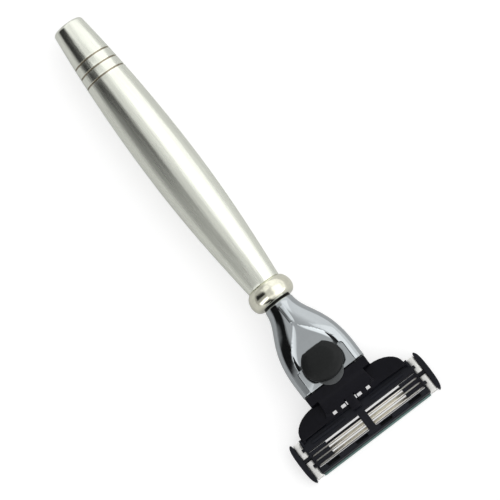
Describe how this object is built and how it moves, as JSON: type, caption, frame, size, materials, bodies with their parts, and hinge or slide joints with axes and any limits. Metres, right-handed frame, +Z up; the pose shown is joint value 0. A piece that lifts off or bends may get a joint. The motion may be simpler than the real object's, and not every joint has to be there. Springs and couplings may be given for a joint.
{
  "type": "cartridge razor",
  "caption": "Cartridge razor: turned metal handle, cast head with a release button, and a pivoting blade cartridge on a hub.",
  "frame": {"origin": "centre of the bounding box, on the surface the razor lies on", "axes": "+Z up from that surface, blade side down and button side up; +Y along the handle towards its butt; +X along the cartridge"},
  "size_m": [0.042, 0.1346, 0.0142],
  "materials": {
    "nickel": "polished nickel with fine lengthwise polishing marks",
    "chrome": "bright chrome plating",
    "brass": "plain turned brass",
    "steel": "bright spring steel",
    "blade_steel": "ground and polished strip steel",
    "clip_metal": "bright rolled strip",
    "rubber": "matt black",
    "button_black": "matt black",
    "grey_plastic": "satin grey",
    "hub_black": "semi-gloss black",
    "housing_black": "satin blue-black",
    "guard_rubber": "soft matt black",
    "strip": "waxy grey-green"
  },
  "bodies": {
    "handle_and_head": {"handle_body": "nickel", "threaded_insert": "brass", "joining_stud": "steel", "neck_ring": "nickel", "neck_gasket": "rubber", "head_casting": "chrome", "return_spring_left": "steel", "return_spring_right": "steel", "plunger_guide": "grey_plastic", "plunger_spring": "steel"},
    "release_button": {"button_cap": "button_black", "button_carriage": "grey_plastic", "ejector_plate": "grey_plastic"},
    "plunger": {"pivot_plunger": "hub_black"},
    "hub": {"cartridge_hub": "hub_black"},
    "cartridge": {"cartridge_housing": "housing_black", "guard_strip": "guard_rubber", "lubricating_strip": "strip", "retaining_clip_left": "clip_metal", "retaining_clip_right": "clip_metal", "blade_1": "blade_steel", "blade_2": "blade_steel", "blade_3": "blade_steel", "blade_support_1": "blade_steel", "blade_support_2": "blade_steel", "blade_support_3": "blade_steel"}
  },
  "joints": [
    {"name": "cartridge_release", "type": "slide", "parent": "handle_and_head", "child": "hub", "axis": [0, -1, 0], "range_m": [0, 0.012]},
    {"name": "button_press", "type": "slide", "parent": "handle_and_head", "child": "release_button", "axis": [0, -1, 0], "range_m": [0, 0.003], "stiffness_N_per_m": 300, "springref_m": -0.001, "deforming": ["return_spring_left", "return_spring_right"]},
    {"name": "cartridge_pivot", "type": "hinge", "parent": "hub", "child": "cartridge", "pos_m": [0, -0.057, 0.0054], "axis": [-1, 0, 0], "range_deg": [0, 40], "stiffness_Nm_per_rad": 0.01, "springref_deg": -20.05},
    {"name": "plunger_slide", "type": "slide", "parent": "handle_and_head", "child": "plunger", "axis": [0, 1, 0], "range_m": [0, 0.0014], "deforming": ["plunger_spring"]}
  ],
  "couplings": [
    {"joint": "button_press", "follows": "cartridge_release", "ratio": 0.25},
    {"joint": "plunger_slide", "follows": "cartridge_pivot", "m_per_rad": 0.002}
  ]
}
